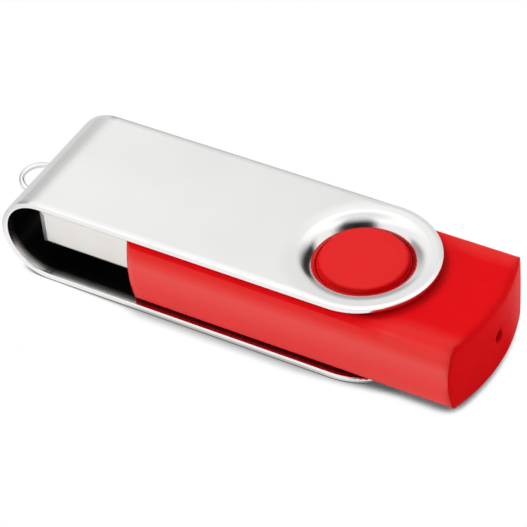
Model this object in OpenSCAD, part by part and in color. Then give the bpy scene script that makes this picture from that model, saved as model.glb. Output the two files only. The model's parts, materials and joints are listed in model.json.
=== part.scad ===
// Swivel flash drive: a moulded two-part case with a plug at one end, held in a U-shaped
// sheet-metal clip that turns about a round boss on each side of the case.
// X runs along the drive towards the light hole, Z is up, and the drive lies on its lower plate.
// Pieces are drawn about the swivel axis at half height, and at_middle() puts them in the part's frame.

/* [Case] */
// Length of the case without the plug
case_l = 39.7; // [32:0.1:50]
// Width of the case across its bulged sides
case_w = 16.8; // [16:0.1:22]
// Thickness of the case between the two plates
case_h = 8.5; // [7:0.1:12]
// Swivel axis to the middle of the rear end
pivot_to_rear = 15.3; // [13:0.1:18]
// Radius of the bulge of the long sides, seen from the end
side_r = 14; // [11:0.5:30]
// Rounding of the long edges
edge_r = 1; // [0.5:0.1:1.5]
// Radius of the rear end, seen from above
end_r = 23; // [18:0.5:40]
// Rounding of the upper and lower edges of both ends
end_edge_r = 0.35; // [0.1:0.05:0.6]
// Rounding of the four upright corners
corner_r = 1.1; // [0.6:0.1:2]
// Wall above and below the board
case_wall = 1.1; // [0.8:0.05:1.4]
// Wall beside the board
side_wall = 1.45; // [1.2:0.05:2]
// Length of the collar that grips the plug
collar_l = 2.9; // [2:0.1:4]
// Diameter of the light hole
light_d = 1.5; // [0.8:0.1:2]

/* [Swivel] */
// Radius of the boss that the clip turns on
boss_r = 4.95; // [4:0.05:5.4]
// Width of the ledge round the raised button on the boss
button_ledge = 0.23; // [0.1:0.01:0.8]
// Rounding of the button's rim
button_edge_r = 0.35; // [0.1:0.05:0.6]
// Depth of the button's top below the clip's outer face
button_sink = 0.55; // [0.3:0.01:0.7]
// Running clearance between boss and clip
swivel_clearance = 0.08; // [0.02:0.01:0.1]
// Gap between a plate and the case
plate_gap = 0.32; // [0.2:0.02:0.6]
// Gap under the lip in the case's ring-shaped recess
lip_gap = 0.15; // [0.1:0.01:0.3]
// Gap round the dish in that recess
dish_gap = 0.25; // [0.1:0.01:0.5]

/* [Clip] */
// Width of the clip's strip
clip_w = 16.4; // [15.5:0.1:20]
// Thickness of the sheet
clip_t = 0.72; // [0.5:0.02:1]
// Rounding of the sheet's edges
clip_edge_r = 0.22; // [0.1:0.02:0.24]
// Width of the soft roll along the outer face's edges
edge_roll_w = 0.8; // [0.3:0.05:1]
// Radius of that roll
edge_roll_r = 4; // [3:0.5:10]
// Gap between the plug's tip and the bend
bend_gap = 2.93; // [1.5:0.01:6]
// Outer bend radius of the sheet that is rolled down into the hole
dish_bend_r = 2.2; // [1.8:0.05:2.4]
// Slope of the rolled sheet at its end, in degrees
dish_slope = 66; // [55:1:72]
// Width that the hole's cut takes off that end
lip_trim = 0.1; // [0.05:0.01:0.15]

/* [Keyring loop] */
// Diameter of the wire
wire_d = 0.65; // [0.5:0.05:0.9]
// Width of the loop over the wire
loop_w = 5; // [4:0.1:7]
// Straight stretch of each leg outside the bend
leg_out = 0.16; // [0.1:0.02:2]
// Tilt of the loop above the middle of the bend, in degrees
loop_tilt = 7; // [0:1:20]
// Diameter of the flattened head on the end of each leg
head_d = 1.1; // [0.9:0.05:1.5]
// Thickness of that head
head_t = 0.3; // [0.2:0.05:0.5]

/* [Plug] */
// Width of the plug
plug_w = 12; // [11.9:0.05:12.1]
// Height of the plug
plug_h = 4.5; // [4.4:0.05:4.6]
// Length of the plug outside the case
plug_out = 12.04; // [11.5:0.02:13]
// Length of the plug's shell inside the case
plug_in = 6.7; // [5.5:0.1:8]
// Sheet thickness of the plug's shell
plug_t = 0.3; // [0.25:0.01:0.35]
// Outer rounding of the shell's long edges
plug_edge_r = 0.5; // [0.4:0.05:0.8]
// Width of a latch window
window_w = 2.5; // [2:0.1:2.8]
// Length of a latch window
window_l = 2; // [1.5:0.1:2.5]
// Taper of the shell's tip on each side
tip_taper = 0.15; // [0.05:0.01:0.2]
// Plug's tip to the latch windows
window_from_tip = 5.16; // [4.5:0.02:6]
// Distance between the windows' middles
window_pitch = 4.6; // [4:0.1:6]
// Width of a contact
contact_w = 1; // [0.8:0.05:1.2]
// Thickness of a contact
contact_t = 0.2; // [0.15:0.01:0.3]
// Middle of the drive to the inner contacts
data_y = 1; // [0.9:0.05:1.2]
// Middle of the drive to the outer contacts
supply_y = 3.5; // [3.3:0.05:3.7]
// Height of the contacts above the insulator
contact_proud = 0.08; // [0.04:0.01:0.12]

/* [Board] */
// Thickness of the board
board_t = 0.8; // [0.6:0.05:1.2]
// Width of the ledge that the board lies on
ledge_w = 0.65; // [0.4:0.05:0.8]
// Clearance round pieces that are fitted into each other
fit = 0.05; // [0.02:0.01:0.1]
// Length of the memory chip's body
memory_l = 18.4; // [12:0.1:19]
// Width of the memory chip's body
memory_w = 12; // [8:0.1:12.2]
// Thickness of the memory chip's body
memory_h = 0.95; // [0.8:0.05:1.2]
// Leads at each end of the memory chip
memory_leads_per_end = 24; // [8:1:24]
// Side of the controller's square body
controller_w = 7; // [5:0.1:8]
// Thickness of the controller's body
controller_h = 1.4; // [0.9:0.1:1.6]
// Leads on each side of the controller
controller_leads_per_side = 12; // [8:1:12]
// Spacing of the chips' leads
lead_pitch = 0.5; // [0.4:0.05:0.5]
// Diameter of the crystal's can
crystal_d = 2; // [1.5:0.1:2.2]
// Length of the crystal's can
crystal_l = 6; // [5:0.1:7]

/* [Hidden] */
$fn = 64;
eps = 0.01;

// Places along X, from the swivel axis
rear_x = pivot_to_rear;
front_x = rear_x - case_l;
tip_x = front_x - plug_out;
plug_back_x = front_x + plug_in;
collar_x = front_x + collar_l;
end_axis_x = rear_x - end_r;

// Clip: its height, the bend and the loop beyond it
clip_h = case_h + 2 * (plate_gap + clip_t);
mid_z = clip_h / 2;
bend_r = clip_h / 2;
bend_x = tip_x - bend_gap - clip_t + bend_r;
loop_r = (loop_w - wire_d) / 2;
loop_x = bend_r + leg_out;
loop_tip_x = bend_x - (loop_x + loop_r) * cos(loop_tilt) - wire_d / 2;
head_seat = head_d * head_d / 8 / (bend_r - clip_t) + fit;

// The part's own frame has its origin under the middle of its box
pivot_x = -(rear_x + loop_tip_x) / 2;

// Dish round the hole, with heights measured from the middle of the drive
hole_r = boss_r + swivel_clearance;
dish_inner_r = dish_bend_r - clip_t;
dish_r = hole_r - lip_trim + dish_bend_r * sin(dish_slope);
land_top = mid_z - dish_bend_r + sqrt(pow(dish_bend_r, 2) - pow(dish_r - hole_r, 2));
lip_bottom = mid_z - dish_bend_r + dish_inner_r * cos(dish_slope);
recess_floor = lip_bottom - lip_gap;
recess_r = dish_r - sqrt(pow(dish_inner_r, 2) - pow(dish_inner_r - plate_gap, 2)) + dish_gap;
button_r = boss_r - button_ledge;
button_top = mid_z - button_sink;

// Insides of the case, with heights measured from the middle of the drive
half_h = case_h / 2;
half_w = case_w / 2;
ceiling = half_h - case_wall;
pad_wall = 0.7;
pad_r = recess_r + pad_wall;
pad_bottom = recess_floor - pad_wall;
core_r = button_r - case_wall;
core_top = button_top - case_wall;
board_w = case_w - 2 * (side_wall + fit);
board_top = contact_proud - contact_t;
board_bottom = board_top - board_t;
inner_end_r = end_r - case_wall;
board_end_gap = 0.3;
board_front = collar_x + 2 * fit;
board_back = end_axis_x + sqrt(pow(inner_end_r, 2) - pow(board_w / 2, 2)) - board_end_gap;
rib_w = 0.5;
rib_h = 0.5;
rib_from_end = 2;
pin_d = 1.1;
pin_h = 1.5;
pin_x = front_x + collar_l / 2;
pin_y = (plug_w / 2 + half_w) / 2;
post_w = 0.9;
post_from_end = 4;

// Plug: tabs that stand in slots of the board, insulator and contacts
taper_l = 0.6;
seam_w = 0.1;
seam_depth = 0.1;
tab_l = 2;
tab_below = 0.6;
tab_from_back = 0.4;
tab_x = plug_back_x - tab_from_back - tab_l;
insulator_front = tip_x + 0.5;
block_front = front_x - 1.2;
supply_front = tip_x + 1.15;
data_front = tip_x + 2.15;
tail_back = board_front + 2.2;
nose_h = 0.6;

// Chip leads: reach from the body, foot, thickness and width
lead_out = 0.8;
lead_foot = 0.45;
lead_t = 0.15;
lead_w = 0.22;
chip_lift = 0.1;

// Small surface parts, as length along X, width and height
capacitor = [0.8, 1.6, 0.8];
capacitor_pitch = 2.4;
resistor = [0.8, 1.6, 0.45];
resistor_pitch = 2.6;
led = [0.8, 1.6, 0.25];
led_dome = [0.8, 1.1, 0.4];

// Places of the parts on the board
part_gap = 0.5;
capacitor_x = plug_back_x + part_gap + capacitor[0] / 2;
controller_x = capacitor_x + capacitor[0] / 2 + part_gap + lead_out + controller_w / 2;
crystal_x = controller_x + controller_w / 2 + lead_out + part_gap + crystal_d / 2;
led_x = board_back - led[0] / 2;
resistor_x = led_x - 4 * part_gap;
memory_x = (board_front + board_back) / 2 + 2 * part_gap;

// Crystal: its two wires, bent down to the board
crystal_lead_d = 0.3;
crystal_lead_pitch = 0.7;
crystal_lead_bend = 0.5;
crystal_lead_run = 0.3;
crystal_lift = 0.02;

// Puts what is drawn about the swivel axis, at half height, into the part's own frame
module at_middle() {
    translate([pivot_x, 0, mid_z]) children();
}

// Extrudes an outline drawn as (across, up) along X, from x0 to x1
module along_x(x0, x1) {
    translate([x0, 0, 0]) rotate([90, 0, 90]) linear_extrude(x1 - x0) children();
}

module rounded_rect(w, h, r) {
    square([w - 2 * r, h], center = true);
    square([w, h - 2 * r], center = true);
    for (x = [-1, 1], y = [-1, 1]) translate([x * (w / 2 - r), y * (h / 2 - r)]) circle(r);
}

// Cross-section of the case: a flat top and bottom, bulged sides and rounded long edges.
// The roundings stand a hair proud of the sides, so that they cross them instead of only touching
module case_section() {
    proud = 0.002;
    bulge_y = side_r - half_w;
    bulge_h = 2 * (half_h - edge_r) * side_r / (side_r - edge_r);
    edge_y = sqrt(pow(side_r - edge_r, 2) - pow(half_h - edge_r, 2)) - bulge_y;
    intersection() {
        square([case_w + 1, case_h], center = true);
        union() {
            square([2 * edge_y, case_h + 1], center = true);
            intersection() {
                translate([-bulge_y, 0]) circle(side_r, $fn = 240);
                translate([bulge_y, 0]) circle(side_r, $fn = 240);
                square([case_w + 1, bulge_h], center = true);
            }
            for (y = [-1, 1], z = [-1, 1]) translate([y * edge_y, z * (half_h - edge_r)])
                circle(edge_r + proud);
        }
    }
}

// Strip as high as the case, from 0 to l, with both edges of its far end rounded
module rounded_strip(l) {
    translate([0, -half_h]) square([l - end_edge_r, case_h]);
    translate([0, end_edge_r - half_h]) square([l, case_h - 2 * end_edge_r]);
    for (z = [-1, 1]) translate([l - end_edge_r, z * (half_h - end_edge_r)]) circle(end_edge_r);
}

// Rounds an upright corner of the case so that it follows the bulge of the side.
// The rounding's middle is at x at half height, where the end wall faces the angle turn.
// The cut meets the end wall and the side at a small angle
module corner_cut(x, turn) {
    meet = 4;
    reach = 3 * corner_r;
    wheel_r = (side_r - corner_r) * cos(turn);
    rim_end = [wheel_r + corner_r * sin(meet), corner_r * cos(meet)];
    rim_side = [wheel_r + corner_r * cos(turn + meet), corner_r * sin(turn + meet)];
    end_out = rim_end + reach * [-cos(meet), sin(meet)];
    side_out = rim_side + reach * [sin(turn + meet), -cos(turn + meet)];
    far = [side_out[0] + corner_r, end_out[1] + corner_r];
    translate([x, half_w - corner_r, 0]) rotate([0, 0, turn]) translate([0, -wheel_r, 0])
        rotate([0, 90, 0]) rotate_extrude($fn = 240) difference() {
            polygon([end_out, rim_end, rim_side, side_out, [far[0], side_out[1]], far, [end_out[0], far[1]]]);
            translate([wheel_r, 0]) circle(corner_r);
        }
}

// Outer form of the case: square front, arched rear end, rounded edges and corners
module case_form() {
    rear_turn = asin((half_w - corner_r) / (end_r - corner_r));
    rear_corner_x = end_axis_x + (end_r - corner_r) * cos(rear_turn);
    difference() {
        intersection() {
            along_x(front_x - 1, rear_x + 1) case_section();
            translate([rear_x + 1, 0, 0]) rotate([90, 0, 180])
                linear_extrude(case_w + 2, center = true) rounded_strip(case_l + 1);
            translate([end_axis_x, 0, 0]) rotate_extrude($fn = 240) rounded_strip(end_r);
        }
        for (flip = [0, 1]) mirror([0, flip, 0]) {
            corner_cut(rear_corner_x, rear_turn);
            mirror([1, 0, 0]) corner_cut(-front_x - corner_r, 0);
        }
    }
}

// Upper half of the case, with the boss in its ring-shaped recess
module half_case() {
    rim_h = button_top - button_edge_r - recess_floor;
    difference() {
        case_form();
        translate([front_x - 1, -case_w, -case_h]) cube([case_l + 2, 2 * case_w, case_h]);
        translate([0, 0, recess_floor]) cylinder(r = recess_r, h = half_h);
    }
    rotate_extrude() translate([0, recess_floor]) {
        square([boss_r, land_top - recess_floor]);
        square([button_r, rim_h]);
        square([button_r - button_edge_r, rim_h + button_edge_r]);
        translate([button_r - button_edge_r, rim_h]) circle(button_edge_r);
    }
}

// Space inside the case, as wide as w, from z0 to z1, arched at the rear like the case
module inner_space(w, z0, z1) {
    intersection() {
        translate([collar_x, -w / 2, z0]) cube([case_l, w, z1 - z0]);
        translate([end_axis_x, 0, z0 - 1]) cylinder(r = inner_end_r, h = z1 - z0 + 2, $fn = 180);
    }
}

module plug_opening() {
    along_x(front_x - 1, collar_x + 1) rounded_rect(plug_w + 2 * fit, plug_h + 2 * fit, plug_edge_r);
}

module light_hole() {
    translate([rear_x - 2 * case_wall, 0, 0]) rotate([0, 90, 0]) cylinder(d = light_d, h = 3 * case_wall);
}

// Rib along the parting plane, on both sides of the board; gap widens it for the groove
module parting_rib(gap) {
    rib_y = half_w - side_wall / 2;
    for (side = [-1, 1])
        translate([collar_x - gap, side * rib_y - rib_w / 2 - gap, -eps])
            cube([board_back - rib_from_end - collar_x + 2 * gap, rib_w + 2 * gap, rib_h + gap + eps]);
}

module locating_pins(gap) {
    for (side = [-1, 1])
        translate([pin_x, side * pin_y, -eps]) cylinder(d = pin_d + 2 * gap, h = pin_h + gap + eps);
}

// Posts that hold the board down on its ledges
module board_posts() {
    post_y = board_w / 2 - post_w / 2;
    for (x = [plug_back_x + post_from_end, board_back - post_from_end], side = [-1, 1])
        translate([x - post_w / 2, side * post_y - post_w / 2, board_top])
            cube([post_w, post_w, ceiling - board_top + eps]);
}

module upper_shell() {
    color("#d8141c") at_middle() {
        difference() {
            half_case();
            difference() {
                inner_space(board_w + 2 * fit, -1, ceiling);
                translate([0, 0, pad_bottom]) cylinder(r = pad_r, h = half_h);
            }
            translate([0, 0, pad_bottom - eps]) cylinder(r = core_r, h = core_top - pad_bottom + eps);
            plug_opening();
            light_hole();
            parting_rib(fit);
            locating_pins(fit);
        }
        board_posts();
    }
}

module lower_shell() {
    color("#d8141c") at_middle() {
        difference() {
            mirror([0, 0, 1]) half_case();
            inner_space(board_w + 2 * fit, board_bottom, 1);
            difference() {
                inner_space(board_w - 2 * ledge_w, -ceiling, board_bottom + eps);
                translate([0, 0, -pad_bottom - half_h]) cylinder(r = pad_r, h = half_h);
            }
            translate([0, 0, -core_top]) cylinder(r = core_r, h = core_top - pad_bottom + eps);
            plug_opening();
            light_hole();
        }
        parting_rib(0);
        locating_pins(0);
    }
}

// Cross-section of the sheet, with its edges rounded and its outer face, at the top, rolled off
module sheet_section() {
    roll_y = clip_w / 2 - edge_roll_w;
    intersection() {
        rounded_rect(clip_w, clip_t, clip_edge_r);
        union() {
            square([2 * roll_y, 2 * clip_t], center = true);
            for (side = [-1, 1]) translate([side * roll_y, clip_t / 2 - edge_roll_r])
                circle(edge_roll_r, $fn = 240);
        }
    }
}

// Area below one face of the rolled sheet, which bends with radius r about the origin
module under_dish(r) {
    circle(r);
    translate([0, -r]) square([2 * r, 2 * r]);
}

// Sheet rolled down round the hole, as a section at the plate's height.
// It ends square to its slope, and the hole's cut leaves a short upright land there
module dish_section() {
    reach = 2 * dish_bend_r;
    translate([dish_r, mid_z - dish_bend_r]) intersection() {
        difference() {
            under_dish(dish_bend_r);
            under_dish(dish_inner_r);
        }
        polygon([[0, 0], reach * [-sin(dish_slope), cos(dish_slope)], [0, reach], [clip_t, reach],
            [clip_t, 0]]);
        translate([hole_r - dish_r, 0]) square(2 * reach);
    }
}

// Upper plate with its round free end and the dished hole
module clip_plate() {
    plate_z = mid_z - clip_t / 2;
    difference() {
        union() {
            translate([0, 0, plate_z]) along_x(bend_x, 0) sheet_section();
            translate([0, 0, plate_z]) rotate([0, 0, -90]) rotate_extrude(angle = 180, $fn = 120)
                intersection() {
                    sheet_section();
                    translate([0, -clip_t]) square([clip_w, 2 * clip_t]);
                }
        }
        translate([0, 0, plate_z - clip_t]) cylinder(r = dish_r, h = 2 * clip_t);
    }
    rotate_extrude() dish_section();
}

// Legs of the keyring loop, from its centre line's ends inwards to distance x from the bend's axis
module loop_legs(d, x) {
    for (side = [-1, 1])
        translate([-loop_x, side * loop_r, 0]) rotate([0, 90, 0]) cylinder(d = d, h = loop_x - x);
}

module at_loop() {
    translate([bend_x, 0, 0]) rotate([0, loop_tilt, 0]) children();
}

module swivel_clip() {
    color("#d9d9d6") at_middle() difference() {
        union() {
            clip_plate();
            mirror([0, 0, 1]) clip_plate();
            translate([bend_x, 0, 0]) rotate([90, 90, 0]) rotate_extrude(angle = -180, $fn = 120)
                translate([bend_r - clip_t / 2, 0]) rotate(-90) sheet_section();
        }
        at_loop() loop_legs(wire_d + 2 * fit, bend_r - 2 * clip_t);
    }
}

module keyring_loop() {
    head_x = bend_r - clip_t - head_seat;
    color("#cfcfcd") at_middle() at_loop() {
        translate([-loop_x, 0, 0]) rotate([0, 0, 90]) rotate_extrude(angle = 180)
            translate([loop_r, 0]) circle(d = wire_d);
        loop_legs(wire_d, head_x - head_t);
        for (side = [-1, 1])
            translate([-head_x, side * loop_r, 0]) rotate([0, 90, 0]) cylinder(d = head_d, h = head_t);
    }
}

module latch_windows() {
    for (side = [-1, 1])
        translate([tip_x + window_from_tip, side * window_pitch / 2 - window_w / 2, -plug_h])
            cube([window_l, window_w, 2 * plug_h]);
}

// Cuts the four outer sides of the shell's tip at a slope
module tip_tapers() {
    for (turn = [0:90:270]) {
        side = turn % 180 == 0 ? plug_h / 2 : plug_w / 2;
        rotate([turn + 90, 0, 0]) linear_extrude(2 * plug_w, center = true)
            polygon([[tip_x - taper_l, side - 2 * tip_taper], [tip_x + taper_l, side],
                [tip_x + taper_l, plug_w], [tip_x - taper_l, plug_w]]);
    }
}

// Groove along the underside, where the folded sheet meets
module seam_groove() {
    translate([tip_x - 1, -seam_w / 2, -plug_h / 2 - seam_depth])
        cube([plug_out + plug_in + 2, seam_w, 2 * seam_depth]);
}

// Tabs of the shell's sides, or their slots in the board
module plug_tabs(gap) {
    for (side = [-1, 1])
        translate([tab_x - gap, side * (plug_w - plug_t) / 2 - plug_t / 2 - gap, board_bottom - tab_below])
            cube([tab_l + 2 * gap, plug_t + 2 * gap, board_top - board_bottom + tab_below + eps]);
}

module plug_shell() {
    color("#dcd7d2") at_middle() {
        difference() {
            along_x(tip_x, plug_back_x) difference() {
                rounded_rect(plug_w, plug_h, plug_edge_r);
                rounded_rect(plug_w - 2 * plug_t, plug_h - 2 * plug_t, plug_edge_r - plug_t);
            }
            latch_windows();
            tip_tapers();
            seam_groove();
            translate([board_front - fit, -plug_w, -plug_h])
                cube([plug_in, 2 * plug_w, plug_h + board_top]);
        }
        plug_tabs(0);
    }
}

// Sector of a bent sheet between two radii, from angle a0 to angle a1
module bend_section(outer_r, inner_r, a0, a1) {
    intersection() {
        difference() {
            circle(outer_r);
            circle(inner_r);
        }
        polygon([[0, 0], 2 * outer_r * [cos(a0), sin(a0)], 2 * outer_r * [cos(a1), sin(a1)]]);
    }
}

// A flat contact with its front end bent down, lying at y; gap widens it for its groove
module contact_strip(y, x0, gap) {
    turn_r = 2 * contact_t;
    turn_x = x0 + turn_r;
    turn_z = contact_proud - turn_r;
    translate([0, y + contact_w / 2 + gap, 0]) rotate([90, 0, 0]) linear_extrude(contact_w + 2 * gap) {
        translate([turn_x, board_top]) square([tail_back + gap - turn_x, contact_t + gap]);
        translate([turn_x, turn_z]) bend_section(turn_r + gap, turn_r - contact_t, 90, 180);
        translate([x0 - gap, turn_z - nose_h - gap]) square([contact_t + gap, nose_h + gap]);
    }
}

module all_contacts(gap) {
    for (side = [-1, 1]) {
        contact_strip(side * supply_y, supply_front, gap);
        contact_strip(side * data_y, data_front, gap);
    }
}

// Tongue in the lower half of the plug, with a block across the back
module plug_insulator() {
    inset = 2 * (plug_t + fit);
    color("#1d1d1f") at_middle() difference() {
        along_x(insulator_front, board_front - fit)
            rounded_rect(plug_w - inset, plug_h - inset, plug_edge_r - plug_t);
        translate([insulator_front - 1, -plug_w, 0])
            cube([block_front - insulator_front + 1, 2 * plug_w, plug_h]);
        all_contacts(fit / 2);
    }
}

module power_contact() {
    color("#c9a54c") at_middle() contact_strip(-supply_y, supply_front, 0);
}

module data_minus_contact() {
    color("#c9a54c") at_middle() contact_strip(-data_y, data_front, 0);
}

module data_plus_contact() {
    color("#c9a54c") at_middle() contact_strip(data_y, data_front, 0);
}

module ground_contact() {
    color("#c9a54c") at_middle() contact_strip(supply_y, supply_front, 0);
}

module circuit_board() {
    color("#1f6b3a") at_middle() difference() {
        translate([board_front, -board_w / 2, board_bottom])
            cube([board_back - board_front, board_w, board_t]);
        plug_tabs(fit);
    }
}

// Row of bent leads along the +X side of a chip, count of them, from x outwards, standing on z = 0
module lead_row(x, body_h, count) {
    shoulder = chip_lift + body_h / 2;
    toe = x + lead_out;
    profile = [[x, shoulder], [x + lead_t, shoulder], [toe - lead_foot, lead_t], [toe, lead_t],
        [toe, 0], [toe - lead_foot - lead_t, 0], [x + lead_t / 2, shoulder - lead_t],
        [x, shoulder - lead_t]];
    for (i = [0:count - 1])
        translate([0, (i - (count - 1) / 2) * lead_pitch + lead_w / 2, 0])
            rotate([90, 0, 0]) linear_extrude(lead_w) polygon(profile);
}

// Outline of a moulded chip body seen from the side, widest at half height
module chip_outline(l, h) {
    draft = 0.1 * h;
    polygon([[draft - l / 2, 0], [l / 2 - draft, 0], [l / 2, h / 2], [l / 2 - draft, h], [draft - l / 2, h],
        [-l / 2, h / 2]]);
}

// Moulded chip body with drafted sides and a dimple that marks its first lead
module chip_body(l, w, h) {
    dimple_d = 0.8;
    dimple_depth = 0.1;
    translate([0, 0, chip_lift]) difference() {
        intersection() {
            along_x(-l / 2, l / 2) chip_outline(w, h);
            rotate([90, 0, 0]) linear_extrude(w, center = true) chip_outline(l, h);
        }
        translate([1 - l / 2, 1 - w / 2, h - dimple_depth]) cylinder(d = dimple_d, h = 2 * dimple_depth);
    }
}

module on_board(x, y = 0) {
    at_middle() translate([x, y, board_top]) children();
}

module under_board(x) {
    at_middle() translate([x, 0, board_bottom]) rotate([180, 0, 0]) children();
}

module memory_chip() {
    color("#202022") under_board(memory_x) chip_body(memory_l, memory_w, memory_h);
}

module memory_leads() {
    color("#b9bcc0") under_board(memory_x) for (turn = [0, 180])
        rotate([0, 0, turn]) lead_row(memory_l / 2, memory_h, memory_leads_per_end);
}

module controller_chip() {
    color("#202022") on_board(controller_x) chip_body(controller_w, controller_w, controller_h);
}

module controller_leads() {
    color("#b9bcc0") on_board(controller_x) for (turn = [0:90:270])
        rotate([0, 0, turn]) lead_row(controller_w / 2, controller_h, controller_leads_per_side);
}

// Lying can with a domed end and a flange at its base
module crystal_can() {
    dome_r = 0.3;
    flange_w = 0.12;
    flange_h = 0.4;
    can_r = crystal_d / 2 - flange_w;
    color("#c4c6c8") on_board(crystal_x, crystal_l / 2) translate([0, 0, crystal_d / 2 + crystal_lift])
        rotate([90, 0, 0]) rotate_extrude() {
            square([can_r - dome_r, crystal_l]);
            translate([0, dome_r]) square([can_r, crystal_l - dome_r]);
            translate([can_r - dome_r, dome_r]) circle(dome_r);
            translate([0, crystal_l - flange_h]) square([crystal_d / 2, flange_h]);
        }
}

module crystal_leads() {
    lead_z = crystal_d / 2 + crystal_lift;
    color("#c4c6c8") on_board(crystal_x, -crystal_l / 2) for (side = [-1, 1])
        translate([side * crystal_lead_pitch / 2, 0, 0]) {
            translate([0, 0, lead_z]) rotate([90, 0, 0]) cylinder(d = crystal_lead_d, h = crystal_lead_run);
            translate([0, -crystal_lead_run, lead_z - crystal_lead_bend]) rotate([90, 0, -90])
                rotate_extrude(angle = 90) translate([crystal_lead_bend, 0]) circle(d = crystal_lead_d);
            translate([0, -crystal_lead_run - crystal_lead_bend, 0])
                cylinder(d = crystal_lead_d, h = lead_z - crystal_lead_bend);
        }
}

module block(size) {
    translate([-size[0] / 2, -size[1] / 2, 0]) cube(size);
}

module led_base() {
    color("#e8e6dc") on_board(led_x) block(led);
}

module led_lens() {
    color("#f4d9d4") on_board(led_x) translate([0, 0, led[2]]) block(led_dome);
}

// Row of capacitors between the plug's shell and the controller
module bypass_capacitors() {
    color("#b08a5a") for (i = [-1.5:1.5])
        on_board(capacitor_x, i * capacitor_pitch) block(capacitor);
}

module chip_resistors() {
    color("#26262a") for (i = [-1:1])
        on_board(resistor_x, i * resistor_pitch) block(resistor);
}

upper_shell();
lower_shell();
swivel_clip();
keyring_loop();
plug_shell();
plug_insulator();
power_contact();
data_minus_contact();
data_plus_contact();
ground_contact();
circuit_board();
memory_chip();
memory_leads();
controller_chip();
controller_leads();
crystal_can();
crystal_leads();
led_base();
led_lens();
bypass_capacitors();
chip_resistors();
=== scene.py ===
import json
import math
import bpy
from mathutils import Matrix, Vector

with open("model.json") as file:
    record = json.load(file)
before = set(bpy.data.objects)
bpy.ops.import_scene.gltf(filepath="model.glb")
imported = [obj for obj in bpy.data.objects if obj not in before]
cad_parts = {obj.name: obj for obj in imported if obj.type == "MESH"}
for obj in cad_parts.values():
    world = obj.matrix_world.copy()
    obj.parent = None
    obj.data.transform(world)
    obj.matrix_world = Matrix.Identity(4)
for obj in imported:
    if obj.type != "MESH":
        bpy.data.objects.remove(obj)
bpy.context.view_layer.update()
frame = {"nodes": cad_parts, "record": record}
scene = bpy.context.scene
scene.view_settings.view_transform = "Standard"
for packed in list(bpy.data.materials):
    bpy.data.materials.remove(packed)

# Sizes of surface detail, as noise scales per metre
GRAIN = 9000
FINE = 22000
BLOTCH = 420
CLOUD = 90

# The glass cloth under the solder mask, in radians per metre
WEAVE = 12000

# The span of values that a noise hardly leaves, and that the sum of two noises hardly leaves
NOISE_SPAN = (0.3, 0.7)
SUM_SPAN = (0.7, 1.3)

# The swivel's axis runs along Z at PIVOT_X, and the clip's bend along Y at CLIP_BEND_X, both half way up.
# CASE_MID_X is half way along the case.
PIVOT_X = 0.013697
CLIP_BEND_X = -0.021103
CASE_MID_X = 0.009147
MID_Z = 0.00529

# Middle of the upper dish. A card for the dish shows wholly to points whose distance from it differs from
# the dish's by up to the first value, and not at all from the second value on.
DISH = (PIVOT_X, 0, 0.01)
DISH_REACH = (0.0055, 0.0095)

# Share of a card over which an edge fades when it should not be seen to fade
HARD = 0.001

# Height of the cards that lie on the floor, and what the lamps point at
CARD_Z = 0.0002
AIM = (0, 0, 0.005)


class Graph:
    """Builds a shader tree node by node."""

    def __init__(self, tree):
        self.tree = tree

    def node(self, kind, **values):
        made = self.tree.nodes.new("ShaderNode" + kind)
        for key, value in values.items():
            setattr(made, key, value)
        return made

    def plug(self, value, socket):
        """Link an output to a socket, or set the socket's own value."""
        if isinstance(value, bpy.types.NodeSocket):
            self.tree.links.new(value, socket)
        else:
            socket.default_value = value

    def plug_all(self, values, made):
        for value, socket in zip(values, made.inputs):
            self.plug(value, socket)
        return made.outputs

    def math(self, operation, *values, clamp=False):
        return self.plug_all(values, self.node("Math", operation=operation, use_clamp=clamp))[0]

    def product(self, first, *others):
        for other in others:
            first = self.math("MULTIPLY", first, other)
        return first

    def vector_math(self, operation, *values):
        return self.plug_all(values, self.node("VectorMath", operation=operation))

    def axis(self, name, source):
        return self.plug_all([source], self.node("SeparateXYZ"))[name]

    def spread(self, source, values, span=NOISE_SPAN, smooth=False):
        """Map a span of the source onto a span of values."""
        made = self.node("MapRange", interpolation_type="SMOOTHSTEP" if smooth else "LINEAR")
        return self.plug_all([source, *span, *values], made)["Result"]

    def blend_shaders(self, factor, first, second):
        """Use one shader where the factor is 0 and another where it is 1."""
        both = self.plug_all([factor, first.outputs[0], second.outputs[0]], self.node("MixShader"))
        self.plug(both[0], self.tree.nodes["Material Output"].inputs["Surface"])


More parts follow.
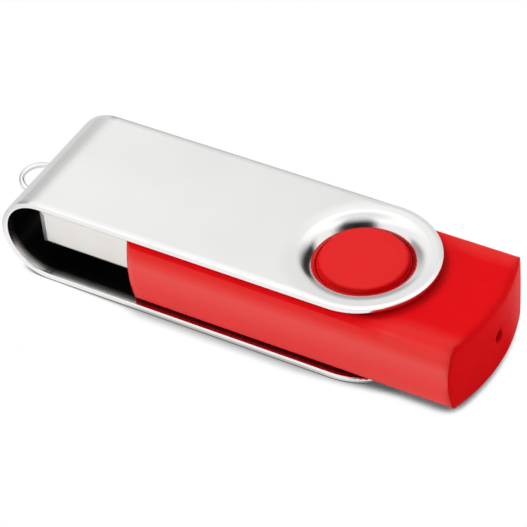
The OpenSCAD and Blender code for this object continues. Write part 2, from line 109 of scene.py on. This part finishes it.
class Surface(Graph):
    """A procedural material round one Principled shader."""

    def __init__(self, name, metallic=0.0, specular=0.5, coat=0.0):
        self.material = bpy.data.materials.new(name)
        self.material.use_nodes = True
        super().__init__(self.material.node_tree)
        self.shader = self.tree.nodes["Principled BSDF"]
        self.give("Metallic", metallic)
        self.give("Specular IOR Level", specular)
        self.give("Coat Weight", coat)
        place = self.node("TexCoord").outputs
        self.coords = place["Object"]
        self.facing = place["Normal"]

    def give(self, name, value):
        self.plug(value, self.shader.inputs[name])

    def given(self, name):
        return self.shader.inputs[name].links[0].from_socket

    def along(self, name):
        return self.axis(name, self.coords)

    def away(self, name, middle):
        """Distance along one axis from a middle."""
        return self.math("ABSOLUTE", self.math("SUBTRACT", self.along(name), middle))

    def from_pivot(self):
        """Distance from the swivel's axis."""
        across = self.vector_math("MULTIPLY_ADD", self.coords, (1, 1, 0), (-PIVOT_X, 0, 0))
        return self.vector_math("LENGTH", across["Vector"])["Value"]

    def noise(self, scale, detail, stretch=None):
        made = self.node("TexNoise")
        made.inputs["Scale"].default_value = scale
        made.inputs["Detail"].default_value = detail
        place = self.coords
        if stretch:
            mapping = self.node("Mapping")
            mapping.inputs["Scale"].default_value = stretch
            self.plug(self.coords, mapping.inputs["Vector"])
            place = mapping.outputs["Vector"]
        self.plug(place, made.inputs["Vector"])
        return made.outputs["Fac"]

    def tint(self, source, low, high, span=NOISE_SPAN):
        ramp = self.node("ValToRGB")
        first, last = ramp.color_ramp.elements
        first.position, first.color = span[0], (*low, 1)
        last.position, last.color = span[1], (*high, 1)
        self.plug(source, ramp.inputs["Fac"])
        return ramp.outputs["Color"]

    def mix(self, factor, colour, other):
        """Go from a colour output to one plain colour."""
        made = self.node("Mix", data_type="RGBA")
        for value, socket in ((factor, 0), (colour, 6), ((*other, 1), 7)):
            self.plug(value, made.inputs[socket])
        return made.outputs[2]

    def bump(self, source, depth):
        """Raise the surface, on top of any bump it already has."""
        made = self.node("Bump")
        made.inputs["Strength"].default_value = 1.0
        made.inputs["Distance"].default_value = depth
        self.plug(source, made.inputs["Height"])
        if self.shader.inputs["Normal"].is_linked:
            self.plug(self.given("Normal"), made.inputs["Normal"])
        self.give("Normal", made.outputs["Normal"])


def moulded(name, low, high, rough, specular, grain_depth):
    """Moulded plastic or resin: slightly uneven colour and gloss, and a fine spark-eroded grain."""
    made = Surface(name, specular=specular)
    made.give("Base Color", made.tint(made.noise(BLOTCH, 3), low, high))
    made.give("Roughness", made.spread(made.noise(BLOTCH * 3, 4), rough))
    made.bump(made.noise(GRAIN, 3), grain_depth)
    return made


def metal(name, low, high, rough, stretch, grain_depth):
    """Metal with faint smudges and a fine grain drawn out along its length."""
    made = Surface(name, metallic=1.0)
    made.give("Base Color", made.tint(made.noise(CLOUD, 3), low, high))
    both = made.math("ADD", made.noise(BLOTCH, 4), made.noise(GRAIN, 3, stretch))
    made.give("Roughness", made.spread(both, rough, SUM_SPAN))
    made.bump(made.noise(FINE, 2, stretch), grain_depth)
    return made


def case_surface():
    """Satin red plastic. Its long sides, its open rear edges and its buttons carry a shiny coat where fingers
    hold it, and there the base red is painted warmer, a painted sheen tone. Its edges are soft at both ends."""
    made = moulded("case_plastic", (0.70, 0.002, 0.004), (0.75, 0.003, 0.006), (0.44, 0.54), 0.03, 4e-6)
    # A warmer red painted where the coat is: a painted sheen tone, not a colour of the plastic
    painted_sheen_red = (0.745, 0.012, 0.003)
    button_shine = 0.22
    softest_edge = 0.0015

    # How far the surface faces up and to the rear, and how far it is from the swivel's axis
    rise = made.axis("Z", made.facing)
    turn = made.axis("X", made.facing)
    radius = made.from_pivot()

    # The sides shine, and take the painted warmer sheen red, below their upper edge, and behind the clip's
    # round end over that edge too
    below_edge = made.spread(rise, (1.0, 0.0), (0.10, 0.27))
    near_edge = made.spread(made.away("Y", 0.0), (0.0, 0.6), (0.0053, 0.0083))
    past_clip = made.spread(radius, (0.0, 1.0), (0.0082, 0.0105))
    past_pivot = made.spread(made.along("X"), (0.0, 1.0), (PIVOT_X, PIVOT_X + 0.006))
    over_edge = made.product(near_edge, past_clip, past_pivot)
    lower_half = made.spread(rise, (0.5, 1.0), (-0.12, 0.09))
    above_foot = made.spread(rise, (0.4, 1.0), (-0.45, -0.24))
    not_rear = made.spread(turn, (1.0, 0.0), (0.1, 0.6))
    sides = made.product(made.math("MAXIMUM", below_edge, over_edge), lower_half, above_foot, not_rear)

    on_top = made.spread(made.math("ABSOLUTE", rise), (0.0, button_shine), (0.4, 0.8))
    on_button = made.spread(radius, (1.0, 0.0), (0.0045, 0.0047))
    # One mask gives both the coat and the painted warmer sheen red of the base colour
    coat_and_painted_sheen = made.math("ADD", sides, made.product(on_top, on_button))
    made.give("Base Color", made.mix(coat_and_painted_sheen, made.given("Base Color"), painted_sheen_red))
    made.give("Coat Weight", coat_and_painted_sheen)
    made.give("Coat Roughness", 0.4)
    made.give("Coat IOR", 1.65)

    # Soft edges at both ends, with none at the plane where the shells meet
    ends = made.spread(made.away("X", CASE_MID_X), (0.0, 1.0), (0.0122, 0.0145))
    off_parting = made.spread(made.away("Z", MID_Z), (0.0, 1.0), (0.0, 0.0016))
    soft = made.node("Bevel", samples=6)
    made.plug(made.product(ends, off_parting, softest_edge), soft.inputs["Radius"])
    grained = made.given("Normal")
    made.plug(soft.outputs["Normal"], grained.node.inputs["Normal"])
    made.give("Coat Normal", grained)
    return made


def clip_surface():
    """Satin clip whose inside is painted near black, a painted shade, and made rougher, both fading out
    towards its long edges.
    The sheet draws in gently round each dish."""
    made = metal("clip_metal", (0.845, 0.84, 0.835), (0.885, 0.88, 0.875), (0.13, 0.2), None, 0.5e-6)
    drawn_from, drawn_to, draw_depth = 0.0047, 0.0087, 0.18e-3
    # Near black painted on the inside faces: painted shade, not a finish of the metal
    painted_shade_grey = (0.03, 0.03, 0.03)
    dull_roughness = 0.15
    shade_fade_y = (0.0070, 0.0081)

    drawn = made.spread(made.from_pivot(), (0.0, 1.0), (drawn_from, drawn_to), smooth=True)
    made.bump(drawn, draw_depth)

    # The inside faces the plane half way up, or the bend's axis
    outwards = made.vector_math("SUBTRACT", made.coords, (CLIP_BEND_X, 0, MID_Z))
    behind = made.vector_math("MINIMUM", outwards["Vector"], (0, 0, 1))
    faced = made.vector_math("DOT_PRODUCT", behind["Vector"], made.facing)
    inside = made.spread(faced["Value"], (1.0, 0.0), (-0.0035, -0.001))
    # Painted shade and extra roughness on the inside, fading out near the long edges
    from_edge = made.spread(made.math("ABSOLUTE", made.along("Y")), (1.0, 0.0), shade_fade_y)
    painted_shade_and_rough = made.product(inside, from_edge)
    made.give("Base Color", made.mix(painted_shade_and_rough, made.given("Base Color"), painted_shade_grey))
    made.give("Roughness", made.math("ADD", made.given("Roughness"), made.product(painted_shade_and_rough, dull_roughness)))
    return made


def board_surface():
    """Solder mask over a glass weave that shows faintly through it."""
    made = Surface("board_laminate", coat=0.3)
    threads = [made.math("SINE", made.product(made.along(name), WEAVE)) for name in "XY"]
    weave = made.product(*threads)
    cloth = made.tint(weave, (0.012, 0.115, 0.045), (0.02, 0.15, 0.06), (0.0, 1.0))
    made.give("Base Color", made.mix(made.noise(BLOTCH, 3), cloth, (0.01, 0.1, 0.04)))
    made.give("Roughness", made.spread(made.noise(BLOTCH * 2, 3), (0.32, 0.45)))
    made.bump(weave, depth=4e-6)
    return made


def chip_part(name, body, top, pitch, offset, reach):
    """Small ceramic part whose two ends are tinned, repeated across the board.
    The ceramic reaches to a share of the pitch on both sides of each part's middle."""
    made = Surface(name)
    tin = (0.7, 0.71, 0.72)
    across = made.math("ADD", made.math("DIVIDE", made.along("Y"), pitch), offset)
    from_middle = made.math("ABSOLUTE", made.math("SUBTRACT", made.math("FRACT", across), 0.5))
    cap = made.math("GREATER_THAN", from_middle, reach)
    ceramic = made.tint(made.noise(GRAIN, 3), body, top)
    made.give("Base Color", made.mix(cap, ceramic, tin))
    made.give("Metallic", cap)
    made.give("Roughness", made.spread(made.noise(GRAIN, 2), (0.3, 0.5)))
    made.bump(made.noise(FINE, 2), depth=3e-6)
    return made


def led_resin():
    """Clear resin with a warm cast."""
    made = moulded("led_resin", (0.84, 0.7, 0.64), (0.88, 0.76, 0.7), (0.1, 0.2), 0.5, 1e-6)
    made.give("Transmission Weight", 0.5)
    return made


# Directions that a metal's grain is drawn out along
ANY_WAY = None
ALONG_WIRE = (0.1, 1, 1)
ALONG_PLUG = (0.06, 1, 1)
ALONG_CONTACT = (0.05, 1, 1)
ALONG_CAN = (1, 0.08, 1)

SURFACES = [
    case_surface(),
    clip_surface(),
    metal("loop_wire", (0.82, 0.82, 0.82), (0.87, 0.87, 0.87), (0.18, 0.28), ALONG_WIRE, 1e-6),
    metal("plug_steel", (0.80, 0.775, 0.745), (0.85, 0.825, 0.80), (0.26, 0.36), ALONG_PLUG, 1.2e-6),
    moulded("insulator_plastic", (0.022, 0.022, 0.024), (0.034, 0.034, 0.036), (0.4, 0.55), 0.5, 3e-6),
    metal("contact_metal", (0.80, 0.59, 0.22), (0.86, 0.66, 0.29), (0.16, 0.28), ALONG_CONTACT, 1e-6),
    board_surface(),
    moulded("chip_resin", (0.02, 0.02, 0.022), (0.032, 0.032, 0.034), (0.5, 0.65), 0.4, 5e-6),
    metal("lead_metal", (0.68, 0.69, 0.70), (0.76, 0.77, 0.78), (0.22, 0.36), ANY_WAY, 1e-6),
    metal("crystal_steel", (0.70, 0.71, 0.72), (0.78, 0.79, 0.80), (0.2, 0.3), ALONG_CAN, 1e-6),
    moulded("led_base_plastic", (0.82, 0.81, 0.77), (0.87, 0.86, 0.82), (0.4, 0.5), 0.5, 2e-6),
    led_resin(),
    chip_part("capacitor_body", (0.40, 0.26, 0.13), (0.48, 0.33, 0.19), pitch=0.0024, offset=0.0, reach=0.22),
    chip_part("resistor_body", (0.025, 0.025, 0.03), (0.04, 0.04, 0.045), pitch=0.0026, offset=0.5, reach=0.2),
]


def dress():
    by_name = {made.material.name: made.material for made in SURFACES}
    for part in frame["record"]["subparts"]:
        mesh = frame["nodes"][part["node"]].data
        mesh.materials.clear()
        mesh.materials.append(by_name[part["material_slot"]])


def add_camera():
    """Camera fitted to the plug, the clip's straight edges, its round end and its hole."""
    data = bpy.data.cameras.new("camera")
    data.lens = 177.26
    data.sensor_width = 36.0
    camera = bpy.data.objects.new("camera", data)
    scene.collection.objects.link(camera)
    right = Vector((0.86680, 0.49392, -0.06857))
    up = Vector((-0.29107, 0.61281, 0.73467))
    place = Matrix((right, up, right.cross(up))).transposed().to_4x4()
    place.translation = Vector((0.112511, -0.169249, 0.189591))
    camera.matrix_world = place
    scene.camera = camera


def seen_rays(graph):
    """1 for the rays that show a surface directly, in metal or through glass, and 0 for the light it gives."""
    path = graph.node("LightPath").outputs
    total = path["Is Camera Ray"]
    for name in ("Is Glossy Ray", "Is Transmission Ray"):
        total = graph.math("ADD", total, path[name], clamp=True)
    return total


def add_world(light):
    """White where it is seen, and of a plain level where it gives light."""
    world = bpy.data.worlds.new("world")
    world.use_nodes = True
    graph = Graph(world.node_tree)
    background = graph.tree.nodes["Background"]
    background.inputs["Color"].default_value = (1, 1, 1, 1)
    graph.plug(graph.spread(seen_rays(graph), (light, 1.0), (0.0, 1.0)), background.inputs["Strength"])
    scene.world = world


def stage_material(name):
    material = bpy.data.materials.new(name)
    material.use_nodes = True
    graph = Graph(material.node_tree)
    graph.tree.nodes.remove(graph.tree.nodes["Principled BSDF"])
    return material, graph


def stage_mesh(name, verts, faces, material):
    mesh = bpy.data.meshes.new(name)
    mesh.from_pydata(verts, [], faces)
    mesh.materials.append(material)
    made = bpy.data.objects.new(name, mesh)
    scene.collection.objects.link(made)
    return made


def rectangle(low, high, z):
    """Corners of a level rectangle, in turn."""
    return [(low[0], low[1], z), (high[0], low[1], z), (high[0], high[1], z), (low[0], high[1], z)]


def add_floor():
    """Pale paper. Seen directly it is white, and darkens only close to what stands on it."""
    half = 3.0
    grey = 0.8
    shadow_reach = 0.0025
    darkest = 0.1

    # Share of open sky at which the paper is darkest, and at which it is white: beside the middle and the ends
    covered = 0.36
    clear_beside_middle, clear_beside_ends = 0.85, 0.55
    middle_to_ends = (0.010, 0.020)

    material, graph = stage_material("floor")
    paper = graph.node("BsdfDiffuse")
    paper.inputs["Color"].default_value = (grey, grey, grey, 1)
    open_sky = graph.node("AmbientOcclusion", samples=16)
    open_sky.inputs["Distance"].default_value = shadow_reach
    along = graph.math("ABSOLUTE", graph.axis("X", graph.node("TexCoord").outputs["Object"]))
    clear = graph.spread(along, (clear_beside_middle, clear_beside_ends), middle_to_ends)
    glow = graph.node("Emission")
    graph.plug(graph.spread(open_sky.outputs["AO"], (darkest, 1.0), (covered, clear)), glow.inputs["Strength"])
    graph.blend_shaders(seen_rays(graph), paper, glow)
    stage_mesh("floor", rectangle((-half, -half), (half, half), 0), [(0, 1, 2, 3)], material)


def shown_to_dish(graph):
    """1 where a card shows to a point about as far from it as the dish is, fading to 0 for other points."""
    there = graph.node("NewGeometry").outputs["Position"]
    apart = graph.vector_math("DISTANCE", there, DISH)["Value"]
    off = graph.math("SUBTRACT", graph.node("LightPath").outputs["Ray Length"], apart)
    return graph.spread(graph.math("ABSOLUTE", off), (1.0, 0.0), DISH_REACH, smooth=True)


def card_material(name, grey, fades, for_dish):
    """Card of one grey. Each of its four edges fades out over its own share of the card,
    so that its reflection has no hard border. A card for the dish shows only there."""
    material, graph = stage_material(name)
    place = graph.node("TexCoord").outputs["UV"]
    masks = [shown_to_dish(graph)] if for_dish else []
    for way, (low, high) in zip("XY", fades):
        for span in ((0.0, low), (1.0, 1.0 - high)):
            masks.append(graph.spread(graph.axis(way, place), (0.0, 1.0), span, smooth=True))
    card = graph.node("Emission")
    card.inputs["Color"].default_value = (grey, grey, grey, 1)
    graph.blend_shaders(graph.product(*masks), graph.node("BsdfTransparent"), card)
    return material


def on_sphere(azimuth, elevation, distance):
    """Point at an azimuth measured from +X towards +Y, in degrees."""
    a, e = math.radians(azimuth), math.radians(elevation)
    level = distance * math.cos(e)
    return (level * math.cos(a), level * math.sin(a), distance * math.sin(e))


def stage_card(name, grey, verts, faces, places, fades, for_dish=False):
    """Card that shows in reflections alone: it gives no light and casts no shadow.
    Each vertex has its place across and up the card, from 0 to 1."""
    card = stage_mesh(name, verts, faces, card_material(name, grey, fades, for_dish))
    layer = card.data.uv_layers.new(name="place").data
    for loop in card.data.loops:
        layer[loop.index].uv = places[loop.vertex_index]
    card.visible_camera = False
    card.visible_shadow = False
    card.visible_diffuse = False


def add_card(name, grey, azimuths, elevations, fades, distance=0.6, steps=24, for_dish=False):
    """Card curved round the object between two azimuths and two elevations."""
    verts, places = [], []
    for i in range(steps + 1):
        azimuth = azimuths[0] + (azimuths[1] - azimuths[0]) * i / steps
        for row, elevation in enumerate(elevations):
            verts.append(on_sphere(azimuth, elevation, distance))
            places.append((i / steps, row))
    faces = [(2 * i, 2 * i + 1, 2 * i + 3, 2 * i + 2) for i in range(steps)]
    stage_card(name, grey, verts, faces, places, fades, for_dish)


def add_floor_card(name, grey, low, high, fades):
    """Card that lies on the floor between two corners."""
    places = ((0, 0), (1, 0), (1, 1), (0, 1))
    stage_card(name, grey, rectangle(low, high, CARD_Z), [(0, 1, 2, 3)], places, fades)


def add_cards():
    """What the metal reflects: a grey, a range of azimuths and one of elevations, or two corners on the floor,
    and the shares that fade at the start and end of both."""
    add_card("card_top", 1.2, (0, 360), (43, 90), ((HARD, HARD), (0.3, HARD)), distance=0.8, steps=48)
    add_card("card_zenith", 0.9, (0, 360), (62, 90), ((HARD, HARD), (0.7, HARD)), distance=0.75, steps=48)
    add_card("card_sky", 0.84, (70, 132), (28, 49), ((0.2, 0.3), (0.3, 0.25)), distance=0.7)
    add_card("card_back", 0.02, (40, 108), (2, 47), ((0.3, 0.15), (0.1, 0.5)), for_dish=True)
    add_card("card_edge", 0.42, (100, 134), (-3, 31), ((0.2, 0.2), (0.1, 0.3)), distance=0.58)
    add_card("card_far", 0.75, (95, 160), (-6, 40), ((0.3, 0.3), (0.1, 0.4)), distance=0.65)
    add_card("card_left", 0.38, (135, 200), (-5, 36), ((0.35, 0.3), (0.1, 0.4)))
    add_card("card_camera", 0.01, (-105, 12), (18, 86), ((0.25, 0.25), (0.15, 0.6)), for_dish=True)
    add_floor_card("card_bend", 0.73, (-0.4, -0.03), (-0.029, 0.4), ((0.1, 0.01), (0.02, 0.1)))
    # card_end: a black card on the floor beside the rear end, where the object's shade falls; the end face
    # reflects it as painted shade
    add_floor_card("card_end", 0.0, (0.0285, -0.02), (0.05, 0.014), ((0.02, 0.3), (0.3, 0.3)))


def add_lamp(name, place, size, power):
    """Soft box that the metal doesn't reflect."""
    data = bpy.data.lights.new(name, "AREA")
    data.shape = "RECTANGLE"
    data.size, data.size_y = size
    data.energy = power
    lamp = bpy.data.objects.new(name, data)
    scene.collection.objects.link(lamp)
    lamp.location = place
    lamp.rotation_mode = "QUATERNION"
    lamp.rotation_quaternion = (Vector(AIM) - Vector(place)).to_track_quat("-Z", "Y")
    lamp.visible_glossy = False


dress()
add_camera()
add_world(light=0.52)
add_floor()
add_cards()
add_lamp("left_box", place=(-0.4, 0.08, 0.5), size=(0.25, 0.25), power=2.2)
add_lamp("right_box", place=(0.33, 0.33, 0.12), size=(0.3, 0.2), power=0.85)
add_lamp("front_box", place=(-0.2, -0.55, 0.13), size=(0.6, 0.25), power=1.6)
